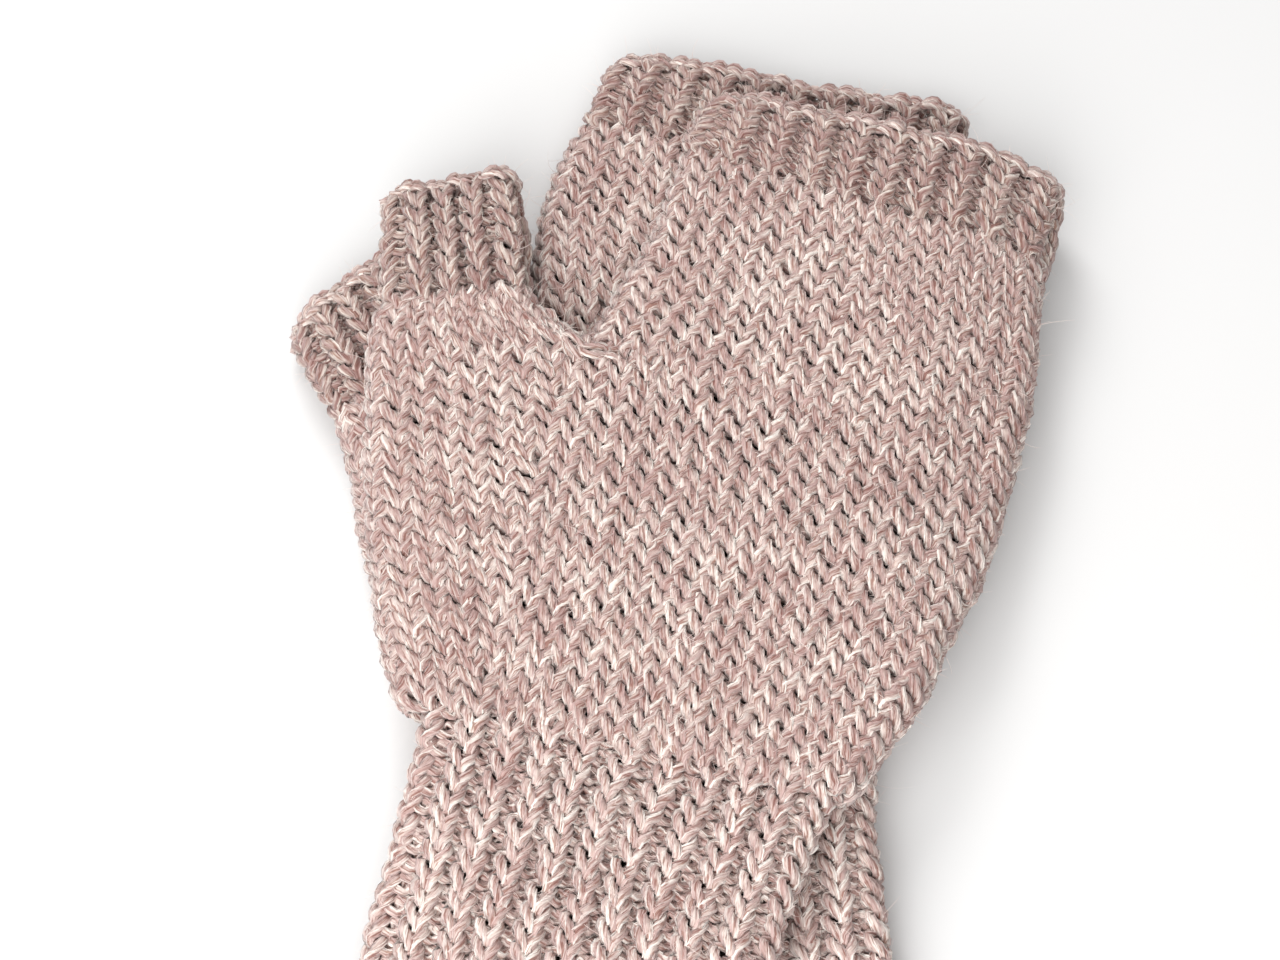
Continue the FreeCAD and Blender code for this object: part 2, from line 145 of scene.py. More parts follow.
# Where each bend starts and ends, along the frame of the palm and of the thumb.
WRIST_FOLD = (7, -7)
THUMB_FOLD = (-10, 7)

# Where a mount lies from its plan frame's origin, along the mount's axis.
WRIST_MOUNT = 60.0
HAND_MOUNT = 56.6
THUMB_MOUNT = 28.6

# Each glove's plan. The palm's three lines are given by points in the palm's frame: the
# thumb edge, the line where stitches are added for the thumb, and the little-finger edge.
# The cuff's lines are (left edge, right edge) at the wrist, half-way down and at its end.
# Every other line is (left edge, right edge, place along the frame, tilt in degrees).
PLANS = {
    "top": {
        "palm": (
            ((-39.5, 0.0), (-23.0, 0.0), (39.5, 0.0)),
            ((-52.0, 28.0), (-23.4, 36.0), (49.5, 29.5)),
            ((-61.2, 60.0), (-23.2, 72.4), (56.8, 63.8)),
        ),
        "fingers": (-35.0, 39.3, 9.5, 1.0),
        "band": (-33.5, 35.5, 32.2, 0.8),
        "rim": (-31.8, 33.3, 46.9, 5.0),
        "thumb": (-14.8, 15.6, -4.6, -2.0),
        "neck": (-12.5, 12.3, 1.0, 0.0),
        "mouth": (-11.8, 11.0, 23.3, 0.5),
        "cuff": ((-33.0, 36.0), (-32.7, 30.6), (-33.0, 31.5)),
    },
    "under": {
        "palm": (
            ((-39.5, 0.0), (-26.5, 0.0), (39.5, 0.0)),
            ((-48.5, 26.0), (-22.5, 37.5), (49.0, 30.0)),
            ((-52.8, 53.0), (-17.5, 77.0), (54.5, 62.0)),
        ),
        "fingers": (-36.8, 39.5, 11.5, 5.3),
        "band": (-36.2, 34.0, 32.5, 4.0),
        "rim": (-34.5, 32.5, 49.2, 8.0),
        "thumb": (-18.6, 14.5, -4.5, 2.0),
        "neck": (-17.5, 9.5, 1.0, 5.0),
        "mouth": (-15.6, 9.5, 20.2, 9.0),
        "cuff": ((-35.0, 35.0), (-33.5, 32.0), (-33.5, 32.5)),
    },
}


# ---------------------------------------------------------------- plan frames

def plan_frame(mount_name, reach):
    """(origin, x axis, y axis, middle height) of the plan frame that a mount belongs to."""
    mount = next(m for m in frame["record"]["mounts"] if m["name"] == mount_name)
    position = np.array(mount["pos_m"]) / MM
    axis = np.array(mount["axis"][:2], float)
    axis /= np.linalg.norm(axis)
    along = -axis if "wrist" in mount_name else axis
    across = np.array([along[1], -along[0]])
    return position[:2] - axis * reach, across, along, position[2]


def plan_point(place, x, y):
    """A plan frame's point in the row frame."""
    origin, across, along, _ = place
    return origin + across * x + along * y


# ---------------------------------------------------------------- the knitted surface

def section(lines, rows, height, swell):
    """A length of flattened tube.

    lines are (left, joint, right) plan points, and swell is half the tube's height, both
    at even steps from the first row to the last.
    """
    at = np.linspace(0, rows, len(lines))
    points = np.array(lines, float)
    fits = np.polyfit(at, points.reshape(len(lines), 6), len(lines) - 1)
    half = np.polyfit(np.linspace(0, rows, len(swell)), swell, len(swell) - 1)
    return {"fits": fits, "rows": rows, "height": height, "half": half}


def straight_line(place, left, right, y, tilt=0.0):
    """The (left, joint, right) plan points of a line across a tube."""
    lean = math.tan(math.radians(tilt))
    ends = plan_point(place, left, y + left * lean), plan_point(place, right, y + right * lean)
    return ends[0], (ends[0] + ends[1]) / 2, ends[1]


def line_at(part, v):
    """The left, joint and right plan points at row v, and half the tube's height."""
    powers = np.stack([v ** n for n in range(len(part["fits"]) - 1, -1, -1)], -1)
    points = (powers @ part["fits"]).reshape(*v.shape, 3, 2)
    return points[..., 0, :], points[..., 1, :], points[..., 2, :], np.polyval(part["half"], v)


def front_lengths(part, v):
    """Length of the course over the front, from the left edge to the joint and on."""
    left, joint, right, half = line_at(part, v)
    turn = half * (math.pi / 2 - 1)
    to_joint = np.linalg.norm(joint - left, axis=-1) + turn
    return to_joint, np.linalg.norm(right - joint, axis=-1) + turn


def surface_point(part, v, u):
    """Points and outward normals at row v and distance u round the tube from its left edge."""
    left, joint, right, half = line_at(part, v)
    first, second = front_lengths(part, v)
    front = first + second
    u = np.mod(u, 2 * front)
    side = np.where(u < front, 1.0, -1.0)
    tau = np.where(u < front, u, 2 * front - u)
    near_left = tau < front / 2
    to_edge = np.where(near_left, tau, front - tau)
    quarter = half * math.pi / 2
    angle = np.minimum(to_edge / half, math.pi / 2)
    from_edge = np.where(to_edge < quarter, half * (1 - np.cos(angle)), to_edge - quarter + half)
    first_plan = np.linalg.norm(joint - left, axis=-1)
    second_plan = np.linalg.norm(right - joint, axis=-1)
    distance = np.where(near_left, from_edge, first_plan + second_plan - from_edge)
    toward_joint = (joint - left) / first_plan[..., None]
    toward_right = (right - joint) / second_plan[..., None]
    before = (distance < first_plan)[..., None]
    plan = np.where(
        before,
        left + toward_joint * distance[..., None],
        joint + toward_right * (distance - first_plan)[..., None],
    )
    outward = np.where(near_left[..., None], -toward_joint, toward_right)
    flat = np.cos(angle)[..., None] * outward
    normal = np.concatenate([flat, (side * np.sin(angle))[..., None]], -1)
    height = part["height"] + side * half * np.sin(angle)
    return np.concatenate([plan, height[..., None]], -1), normal


def smooth_step(value, low, high):
    """0 below low, 1 above high, and a smooth rise between them."""
    share = np.clip((value - low) / (high - low), 0, 1)
    return share * share * (3 - 2 * share)


def distance_to_segment(plan, start, end):
    """Distance of plan points from a straight segment."""
    run = end - start
    share = np.clip(((plan - start) @ run) / (run @ run), 0, 1)
    return np.linalg.norm(plan - start - share[..., None] * run, axis=-1)


def under_spine():
    """Middle line of the under glove and of its thumb, with half its width along each."""
    palm = plan_frame("under_wrist_opening", WRIST_MOUNT)
    hand = plan_frame("under_knuckle_opening", HAND_MOUNT)
    thumb = plan_frame("under_thumb_opening", THUMB_MOUNT)
    return (
        (plan_point(palm, 0, -CUFF_LENGTH), plan_point(palm, 0, 0), 34.0),
        (plan_point(palm, 0, 0), plan_point(palm, 2, 50), 44.0),
        (plan_point(palm, 2, 50), plan_point(hand, 0, 15), 44.0),
        (plan_point(hand, 0, 0), plan_point(hand, 0, 30), 36.0),
        (plan_point(thumb, 0, -20), plan_point(thumb, -2, 10), 18.0),
    )


SPINE = under_spine()
WAVES = [
    (random.normal(0, 1, 2), 2 * math.pi / length, random.uniform(0, 6), random.normal(0, 1, 3))
    for length in WAVE_LENGTHS
]


def settled(points):
    """Points moved as soft fabric settles: faint waves, and the top glove sinks at its edges."""
    plan = points[..., :2]
    moved = points.copy()
    for heading, rate, phase, push in WAVES:
        heading = heading / np.linalg.norm(heading)
        wave = np.sin((plan @ heading) * rate + phase)
        moved += wave[..., None] * push * np.array(WAVE_SIZE)
    beyond = np.min([distance_to_segment(plan, a, b) - half for a, b, half in SPINE], axis=0)
    upper = smooth_step(points[..., 2], *TOP_GLOVE_HEIGHT)
    moved[..., 2] -= DROOP * smooth_step(beyond, *DROOP_SPAN) * upper
    moved[..., 2] = np.maximum(moved[..., 2], YARN_RADIUS)
    return moved


# ---------------------------------------------------------------- stitches

def stitch_path():
    """One stitch's yarn, from the foot of one leg over the head to the foot of the other.

    The five arrays are the place across (in widths), along (in rows) and in depth (-1 to 1),
    how near the point is to the stitch's ends, and how thick the yarn is.
    """
    t = np.linspace(0, 2 * math.pi, STITCH_STEPS, endpoint=False)
    along = 0.5 - (0.5 + LOOP_REACH) * np.cos(t)
    across = t / (2 * math.pi) - 0.5 + LEG_SPREAD * np.sin(2 * t)
    inside = np.minimum(along, 1 - along)
    front = smooth_step(inside, *LEG_RISE)
    edge = np.clip(1 - np.minimum(t, 2 * math.pi - t) / STITCH_END, 0, 1)
    thickness = LEG_THICKNESS[0] + (LEG_THICKNESS[1] - LEG_THICKNESS[0]) * front
    return across, along, 2 * front - 1, edge, thickness


ACROSS, ALONG, DEPTH, EDGE, THICKNESS = stitch_path()
RIDGE = np.sqrt(np.clip(np.cos(ACROSS * math.pi), 0, 1))     # a rib's rounded cross-section


def even_bounds(part, v, wales):
    """Where each stitch of a course starts and ends round the tube, all the same width."""
    first, second = front_lengths(part, v)
    width = 2 * (first + second) / wales
    count = np.arange(wales)[:, None]
    return count * width, (count + 1) * width


def gusset_bounds(part, v, left_wales):
    """Stitch bounds in a palm: wales added for the thumb on the left, a fixed number on the right."""
    first, second = front_lengths(part, v)
    front = first + second
    starts, ends = [], []
    for wale in range(left_wales):
        starts.append(np.full_like(front, wale * STITCH_WIDTH))
        ends.append(first if wale == left_wales - 1 else starts[-1] + STITCH_WIDTH)
    for wale in range(RIGHT_WALES):
        starts.append(first + second * wale / RIGHT_WALES)
        ends.append(first + second * (wale + 1) / RIGHT_WALES)
    starts, ends = np.array(starts), np.array(ends)
    back_starts = 2 * front - ends[::-1]
    back_ends = 2 * front - starts[::-1]
    return np.concatenate([starts, back_starts]), np.concatenate([ends, back_ends])


def rib_bounds(part, v, wales):
    """Stitch bounds in one-by-one rib: a wide knit wale and a narrow purl wale in turn."""
    first, second = front_lengths(part, v)
    pair = 4 * (first + second) / wales
    count = np.arange(wales)[:, None]
    starts = (count // 2 + (count % 2) * RIB_KNIT_SHARE) * pair
    ends = (count // 2 + np.where(count % 2, 1.0, RIB_KNIT_SHARE)) * pair
    return starts, ends


def gusset_wales(part, row):
    """How many wales fit between the thumb edge and the increase line at a row."""
    first, _ = front_lengths(part, np.array([row + 0.5]))
    return max(2, round(float(first[0]) / STITCH_WIDTH))


def stitch_bounds(part, row, v, wales, rib):
    """Where each stitch of a course starts and ends round the tube. A palm's wales are None."""
    if wales is None:
        return gusset_bounds(part, v, gusset_wales(part, row))
    if rib:
        return rib_bounds(part, v, wales)
    return even_bounds(part, v, wales)


def knit_course(part, row, wales, rib, skew):
    """The closed path of one course's yarn, with the fabric's normal at each point."""
    v = row + ALONG
    starts, ends = stitch_bounds(part, row, v, wales, rib)
    count = len(starts)
    push = random.normal(0, 1, (count, 3, 1)) * np.array(STITCH_JITTER)[:, None]
    v = v + push[:, 1] * np.sin(np.linspace(0, math.pi, STITCH_STEPS))
    across = ACROSS
    if rib:
        across = ACROSS * (1 - (1 - RIB_LOOP_WIDTH) * (1 - EDGE))
        flatter = (np.clip(ALONG, 0.5 - PURL_REACH, 0.5 + PURL_REACH) - ALONG) * (1 - EDGE)
        v = v + flatter * (np.arange(count) % 2)[:, None]
    first, second = front_lengths(part, v)
    place = starts / (first + second)
    from_left = np.minimum(place, 2 - place)
    lean = skew[0] + (skew[1] - skew[0]) * smooth_step(from_left, *SKEW_SPAN)
    u = starts + (ends - starts) * (across + 0.5 - lean * (ALONG - 0.5))
    u = u + STITCH_WIDTH * push[:, 0] * (1 - EDGE)
    depth = LOOP_DEPTH * DEPTH + push[:, 2] * (1 - EDGE)
    if rib:
        knit = np.where(np.arange(count) % 2, -1.0, 1.0)[:, None]
        depth = knit * depth * (1 - EDGE) + knit * RIB_DEPTH * RIDGE
    points, normals = surface_point(part, v, u)
    points = settled(points + normals * depth[..., None])
    return points.reshape(-1, 3), normals.reshape(-1, 3)


# ---------------------------------------------------------------- yarn to mesh

class Yarns:
    """Gathers yarn tubes, and hairs that stand off them, into one mesh.

    Each point of a tube has three tones: how creamy it is, whether it is in a groove
    between plies, and one value for the whole tube, which these materials leave alone.
    Its strand place runs round and along the yarn, so that streaks follow the yarn.
    """

    def __init__(self):
        self.points = []
        self.faces = []
        self.tones = []
        self.strands = []
        self.outward = []
        self.count = 0

    def add_tube(self, path, normals, radius):
        """A closed tube of twisted plies along a closed path; radius may vary along it."""
        steps = len(path)
        radius_mean = float(np.mean(radius))
        ahead = np.roll(path, -1, 0) - path
        lengths = np.linalg.norm(ahead, axis=1)
        tangent = np.roll(path, -1, 0) - np.roll(path, 1, 0)
        tangent /= np.linalg.norm(tangent, axis=1)[:, None] + 1e-9
        side = np.cross(tangent, normals)
        side /= np.linalg.norm(side, axis=1)[:, None] + 1e-9
        up = np.cross(side, tangent)
        total = lengths.sum()
        turns = max(1, round(total / PLY_PITCH))
        run = (np.cumsum(lengths) - lengths) / total
        ring = np.arange(RING_POINTS) / RING_POINTS
        angle = 2 * math.pi * (ring[None, :] + turns * run[:, None])
        crest = 1 - np.arange(RING_POINTS) % 2
        waves = round(total / WOBBLE_LENGTH)
        wobble = 1 + WOBBLE * np.sin(2 * math.pi * run * waves + random.uniform(0, 6))
        size = (radius * wobble)[:, None] * (1 + LOBE * (2 * crest - 1))[None, :]
        points = (
            path[:, None]
            + (np.cos(angle) * size)[..., None] * up[:, None]
            + (np.sin(angle) * size)[..., None] * side[:, None]
        )
        phase = random.uniform(0, 2 * math.pi, len(DRIFT_LENGTHS))
        drift = sum(
            np.sin(2 * math.pi * run * max(1, round(total / length)) + phase[n])
            for n, length in enumerate(DRIFT_LENGTHS)
        )[:, None] / len(DRIFT_LENGTHS)
        ply_cream = np.repeat(np.array(PLY_CREAM), 2)[None, :]
        neighbours = (ply_cream + np.roll(ply_cream, -1, 1)) / 2
        cream = np.where(crest[None, :] > 0, ply_cream, neighbours)
        cream = np.clip(cream + DRIFT * drift, 0, 1)
        groove = np.broadcast_to((1 - crest)[None, :], cream.shape)
        tone = np.full(cream.shape, random.uniform(0, 1))
        self.tones.append(np.stack([cream, groove, tone], -1).reshape(-1, 3))
        strand = np.stack(np.broadcast_arrays(
            np.cos(2 * math.pi * ring)[None, :] * radius_mean,
            np.sin(2 * math.pi * ring)[None, :] * radius_mean,
            (run * total * STRAND_SQUEEZE)[:, None] + random.uniform(0, 500),
        ), -1)
        self.strands.append(strand.reshape(-1, 3))
        outward = points - path[:, None]
        self.outward.append(outward.reshape(-1, 3) / radius_mean)
        index = np.arange(steps * RING_POINTS).reshape(steps, RING_POINTS) + self.count
        beyond = np.roll(index, -1, 0)
        quads = np.stack([index, np.roll(index, -1, 1), np.roll(beyond, -1, 1), beyond], -1)
        self.faces.append(quads.reshape(-1, 4))
        self.points.append(points.reshape(-1, 3))
        self.count += steps * RING_POINTS

    def hairs(self, number):
        """Points, quads and triangles of fine hairs that stand off the yarn."""
        roots = np.concatenate(self.points)
        outward = np.concatenate(self.outward)
        chosen = random.integers(0, len(roots), number)
        root = roots[chosen] - outward[chosen] * 0.1
        rise = outward[chosen] + random.normal(0, HAIR_SCATTER, (number, 3))
        rise /= np.linalg.norm(rise, axis=1)[:, None]
        curl = np.cross(rise, random.normal(0, 1, (number, 3)))
        length = np.clip(random.gamma(*HAIR_SPREAD, (number, 1)), *HAIR_LENGTHS)
        share = np.linspace(0, 1, HAIR_STEPS + 1)
        spine = (
            root[:, None]
            + (rise * length)[:, None] * share[None, :, None]
            + (curl * length * HAIR_CURL)[:, None] * (share ** 2)[None, :, None]
        )
        side = np.cross(rise, curl)
        side /= np.linalg.norm(side, axis=1)[:, None] + 1e-9
        other = np.cross(rise, side)
        turn = 2 * math.pi * np.arange(3) / 3
        thin = HAIR_RADIUS * (1 - HAIR_TAPER * share)
        ring = np.cos(turn)[:, None] * side[:, None] + np.sin(turn)[:, None] * other[:, None]
        spine[..., 2] = np.maximum(spine[..., 2], 2 * HAIR_RADIUS)
        points = spine[:, :, None] + thin[None, :, None, None] * ring[:, None]
        index = np.arange(number * (HAIR_STEPS + 1) * 3).reshape(number, HAIR_STEPS + 1, 3)
        around = np.roll(index, -1, 2)
        quads = np.stack([index[:, :-1], around[:, :-1], around[:, 1:], index[:, 1:]], -1)
        ends = np.concatenate([index[:, 0, ::-1], index[:, -1]])
        return points.reshape(-1, 3), quads.reshape(-1, 4), ends

    def mesh(self, name, hair_count):
        """The finished mesh, in metres: the yarn, then the hairs in a second material slot."""
        hair_points, hair_quads, hair_ends = self.hairs(hair_count)
        points = np.concatenate(self.points + [hair_points]) * MM
        quads = np.concatenate(self.faces + [hair_quads + self.count])
        ends = hair_ends + self.count
        yarn_quads = len(quads) - len(hair_quads)
        corners = np.concatenate([quads.ravel(), ends.ravel()]).astype(np.int32)
        sizes = np.concatenate([np.full(len(quads), 4), np.full(len(ends), 3)]).astype(np.int32)
        mesh = bpy.data.meshes.new(name)
        mesh.vertices.add(len(points))
        mesh.vertices.foreach_set("co", points.astype(np.float32).ravel())
        mesh.loops.add(len(corners))
        mesh.loops.foreach_set("vertex_index", corners)
        mesh.polygons.add(len(sizes))
        mesh.polygons.foreach_set("loop_start", (np.cumsum(sizes) - sizes).astype(np.int32))
        mesh.polygons.foreach_set("loop_total", sizes)
        slots = (np.arange(len(sizes)) >= yarn_quads).astype(np.int32)
        mesh.polygons.foreach_set("material_index", slots)
        mesh.update(calc_edges=True)
        mesh.shade_smooth()
        blank = np.zeros((len(hair_points), 3))
        tones = np.concatenate(self.tones + [blank])
        colours = np.concatenate([tones, np.ones((len(tones), 1))], 1)
        yarn = mesh.attributes.new("yarn", "FLOAT_COLOR", "POINT")
        yarn.data.foreach_set("color", colours.astype(np.float32).ravel())
        strands = np.concatenate(self.strands + [blank])
        strand = mesh.attributes.new("strand", "FLOAT_VECTOR", "POINT")
        strand.data.foreach_set("vector", strands.astype(np.float32).ravel())
        return mesh


def knit_section(part, wales, skew, rib=False):
    """All the courses of one section. A palm's wales are None: they change with its rows."""
    yarns = Yarns()
    yarn_radius = RIB_YARN_RADIUS if rib else YARN_RADIUS
    for row in range(part["rows"]):
        path, normals = knit_course(part, row, wales, rib, skew)
        radius = yarn_radius * np.tile(THICKNESS, len(path) // STITCH_STEPS)
        yarns.add_tube(path, normals, radius)
    return yarns


def chain_link():
    """One link of an edge chain: along the edge, across it, and in depth."""
    t = np.linspace(0, 2 * math.pi, LINK_STEPS, endpoint=False)
    along = 0.5 - LINK_REACH * np.cos(t)
    across = np.sin(t) * (0.40 - 0.18 * np.cos(t))
    return along, across, -np.cos(2 * t)


def edge_chain(part, row, links, width=3.2, lean=40.0, lift=0.55, radius=0.78):
    """A ring of chain links round a tube at a row, tipped towards the open end by lean."""
    yarns = Yarns()
    along, across, depth = chain_link()
    for link in range(links):
        push = random.normal(0, 1, 3) * np.array(LINK_JITTER)
        v = np.full(len(along), float(row))
        first, second = front_lengths(part, v)
        pitch = 2 * (first + second) / links
        points, normals = surface_point(part, v, (link + along + push[0]) * pitch)
        left, _, right, _ = line_at(part, v)
        line = (right - left) / np.linalg.norm(right - left, axis=-1)[:, None]
        axis = np.stack([-line[:, 1], line[:, 0], np.zeros(len(v))], -1)
        tip = math.radians(lean)
        face = normals * math.cos(tip) + axis * math.sin(tip)
        sideways = axis * math.cos(tip) - normals * math.sin(tip)
        path = (
            points
            + sideways * (across * width + push[1])[:, None]
            + face * (depth * LOOP_DEPTH + lift + push[2])[:, None]
        )
        yarns.add_tube(settled(path), face, np.full(len(path), radius))
    return yarns


# ---------------------------------------------------------------- materials

PINK = (0.53, 0.37, 0.345)
CREAM = (0.93, 0.865, 0.80)
# Lit copy of the pink and cream: painted light that makes the cuff's rib brighter.
LIT_PINK = (0.59, 0.425, 0.395)
LIT_CREAM = (0.97, 0.915, 0.85)
# Shaded copy of the pink and cream: painted shade that makes the ribbed bands darker.
SHADED_PINK = (0.43, 0.285, 0.265)
SHADED_CREAM = (0.82, 0.75, 0.68)
# Painted shade: the colour that darkens the grooves between plies and the creases along the fibre.
PAINTED_GROOVE_SHADE = (0.40, 0.265, 0.235, 1)
HAIR_PINK = (0.72, 0.50, 0.46, 1)
HAIR_CREAM = (0.95, 0.88, 0.82, 1)


def node(tree, kind, **values):
    """A shader node with some of its settings and inputs set."""
    made = tree.nodes.new(kind)
    for name, value in values.items():
        if hasattr(made, name):
            setattr(made, name, value)
        else:
            made.inputs[name.replace("_", " ")].default_value = value
    return made


def noise_share(tree, vector, gain, **settings):
    """A noise texture, and a node that gives it as a share of -gain / 2 to gain / 2."""
    noise = node(tree, "ShaderNodeTexNoise", **settings)
    tree.links.new(vector, noise.inputs["Vector"])
    share = node(tree, "ShaderNodeMath", operation="MULTIPLY_ADD")
    share.inputs[1].default_value = gain
    share.inputs[2].default_value = -gain / 2
    tree.links.new(noise.outputs["Fac"], share.inputs[0])
    return noise, share


def ply_colour(tree, creaminess, streak, patch, pink, cream):
    """Pink to cream, by the ply, by streaks along the fibre and by wide patches."""
    with_streak = node(tree, "ShaderNodeMath", operation="ADD")
    tree.links.new(creaminess, with_streak.inputs[0])
    tree.links.new(streak.outputs[0], with_streak.inputs[1])
    with_patch = node(tree, "ShaderNodeMath", operation="ADD", use_clamp=True)
    tree.links.new(with_streak.outputs[0], with_patch.inputs[0])
    tree.links.new(patch.outputs[0], with_patch.inputs[1])
    ply = node(tree, "ShaderNodeMix", data_type="RGBA")
    ply.inputs["A"].default_value = (*pink, 1)
    ply.inputs["B"].default_value = (*cream, 1)
    tree.links.new(with_patch.outputs[0], ply.inputs["Factor"])
    return ply


def groove_shade(tree, ply, in_groove, strand, depth):
    """The ply colour with painted shade between plies and in creases along the fibre."""
    crease = node(tree, "ShaderNodeTexNoise", Scale=3.4, Detail=2.0, Roughness=0.5)
    tree.links.new(strand, crease.inputs["Vector"])
    crease_share = node(tree, "ShaderNodeMapRange", From_Min=0.50, From_Max=0.32, To_Max=0.85)
    tree.links.new(crease.outputs["Fac"], crease_share.inputs["Value"])
    share = node(tree, "ShaderNodeMath", operation="MULTIPLY_ADD", use_clamp=True)
    share.inputs[1].default_value = depth
    tree.links.new(in_groove, share.inputs[0])
    tree.links.new(crease_share.outputs["Result"], share.inputs[2])
    shaded = node(tree, "ShaderNodeMix", data_type="RGBA", blend_type="MULTIPLY")
    shaded.inputs["B"].default_value = PAINTED_GROOVE_SHADE
    tree.links.new(ply.outputs["Result"], shaded.inputs["A"])
    tree.links.new(share.outputs[0], shaded.inputs["Factor"])
    return shaded


def wool_material(name, pink, cream, depth, sheen):
    """Marled wool: pink and cream plies, uneven in tone, with painted shade in the grooves; depth is
    how dark that painted shade gets.
    """
    material = bpy.data.materials.new(name)
    material.use_nodes = True
    tree = material.node_tree
    shader = tree.nodes["Principled BSDF"]
    shader.inputs["Roughness"].default_value = 0.92
    shader.inputs["Specular IOR Level"].default_value = 0.22
    shader.inputs["Sheen Weight"].default_value = sheen
    shader.inputs["Sheen Roughness"].default_value = 0.45
    shader.inputs["Sheen Tint"].default_value = (1.0, 0.93, 0.92, 1)
    tones = node(tree, "ShaderNodeAttribute", attribute_name="yarn")
    parts = node(tree, "ShaderNodeSeparateColor")
    tree.links.new(tones.outputs["Color"], parts.inputs["Color"])
    place = node(tree, "ShaderNodeTexCoord").outputs["Object"]
    strand = node(tree, "ShaderNodeAttribute", attribute_name="strand").outputs["Vector"]
    fibre, streak = noise_share(tree, strand, 3.6, Scale=2.3, Detail=3.0, Roughness=0.6)
    _, patch = noise_share(tree, place, 0.6, Scale=95.0, Detail=2.0, Roughness=0.5)
    ply = ply_colour(tree, parts.outputs["Red"], streak, patch, pink, cream)
    shaded = groove_shade(tree, ply, parts.outputs["Green"], strand, depth)
    tree.links.new(shaded.outputs["Result"], shader.inputs["Base Color"])
    bump = node(tree, "ShaderNodeBump", Strength=1.0, Distance=0.0006)
    tree.links.new(fibre.outputs["Fac"], bump.inputs["Height"])
    tree.links.new(bump.outputs["Normal"], shader.inputs["Normal"])
    return material


def hair_material():
    """Loose fibres round the yarn, some pinker than others."""
    material = bpy.data.materials.new("loose_wool_fibre")
    material.use_nodes = True
    tree = material.node_tree
    shader = tree.nodes["Principled BSDF"]
    shader.inputs["Roughness"].default_value = 0.6
    shader.inputs["Sheen Weight"].default_value = 0.3
    place = node(tree, "ShaderNodeTexCoord")
    noise = node(tree, "ShaderNodeTexNoise", Scale=400.0, Detail=1.0)
    colour = node(tree, "ShaderNodeMix", data_type="RGBA")
    colour.inputs["A"].default_value = HAIR_PINK
    colour.inputs["B"].default_value = HAIR_CREAM
    tree.links.new(place.outputs["Object"], noise.inputs["Vector"])
    tree.links.new(noise.outputs["Fac"], colour.inputs["Factor"])
    tree.links.new(colour.outputs["Result"], shader.inputs["Base Color"])
    return material


HAIR_WOOL = hair_material()
PLAIN_WOOL = wool_material("plain_knit_wool", PINK, CREAM, 0.62, 0.35)
# The cuff's rib wool has painted light: a lighter pink and cream.
LIT_RIB_WOOL = wool_material("lit_ribbed_knit_wool", LIT_PINK, LIT_CREAM, 0.60, 0.35)
# The bands' wool has painted shade: a darker pink and cream and deeper painted groove shade.
SHADED_BAND_WOOL = wool_material("shaded_band_knit_wool", SHADED_PINK, SHADED_CREAM, 0.75, 0.35)
EDGE_WOOL = wool_material("edge_chain_wool", PINK, CREAM, 0.58, 0.40)

# ---------------------------------------------------------------- the gloves

# The ribbed_knit slot's wool has painted light; the bands override it with a wool that has painted
# shade.
SLOTS = {"plain_knit": PLAIN_WOOL, "ribbed_knit": LIT_RIB_WOOL, "edge_chain": EDGE_WOOL}


def add_piece(name, yarns, stitches, slot, body=None, blend=None, wool=None):
    """Make the piece that stands for a CAD node: parent it to its body, or, when blend is given, bake
    its place into its mesh.
    """
    mesh = yarns.mesh(f"{name}_yarn", round(stitches * HAIRS_PER_STITCH))
    mesh.materials.append(wool or SLOTS[slot])
    mesh.materials.append(HAIR_WOOL)
    piece = bpy.data.objects.new(f"{name}_knit", mesh)
    bpy.context.scene.collection.objects.link(piece)
    if blend:
        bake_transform(piece)
    else:
        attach(piece, body)
    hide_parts(name)


def in_metres(place, x, y):
    point = plan_point(place, x, y)
    return (point[0] * MM, point[1] * MM, place[3] * MM)


def bend(first, second, place, fold):
    """A blend between two bodies, spread over a fold's start and end in a plan frame."""
    start, end = fold
    return (first, second, in_metres(place, 0, start), in_metres(place, 0, end))


def knit_palm(glove, lines, height, wrist_bend):
    """The palm, which widens row by row for the thumb."""
    palm = section(lines, PALM_ROWS, height, SWELLS["palm"])
    yarns = knit_section(palm, None, PALM_SKEW)
    stitches = 50 * PALM_ROWS
    add_piece(f"{glove}_palm", yarns, stitches, "plain_knit", f"{glove}_glove", wrist_bend)


def knit_fingers(glove, plan, place, crotch, little_edge):
    """The tube round the four fingers, its ribbed band and its bind-off."""
    height = place[3]
    body = f"{glove}_glove"
    base = (crotch, (crotch + little_edge) / 2, little_edge)
    band_start = straight_line(place, *plan["band"])
    middle = straight_line(place, *plan["fingers"])
    fingers = section([base, middle, band_start], FINGER_ROWS, height, SWELLS["fingers"])
    yarns = knit_section(fingers, FINGER_WALES, FINGER_SKEW)
    add_piece(f"{glove}_finger_tube", yarns, FINGER_WALES * FINGER_ROWS, "plain_knit", body)

    rim = straight_line(place, *plan["rim"])
    band = section([band_start, rim], BAND_ROWS, height, SWELLS["band"])
    yarns = knit_section(band, BAND_WALES, BAND_SKEW, rib=True)
    stitches = BAND_WALES * BAND_ROWS
    # The knuckle band gets the wool with painted shade.
    add_piece(f"{glove}_knuckle_band", yarns, stitches, "ribbed_knit", body, wool=SHADED_BAND_WOOL)
    yarns = edge_chain(band, BAND_ROWS + BIND_OFF_ROW, KNUCKLE_LINKS)
    add_piece(f"{glove}_knuckle_bind_off", yarns, BAND_WALES, "edge_chain", body)


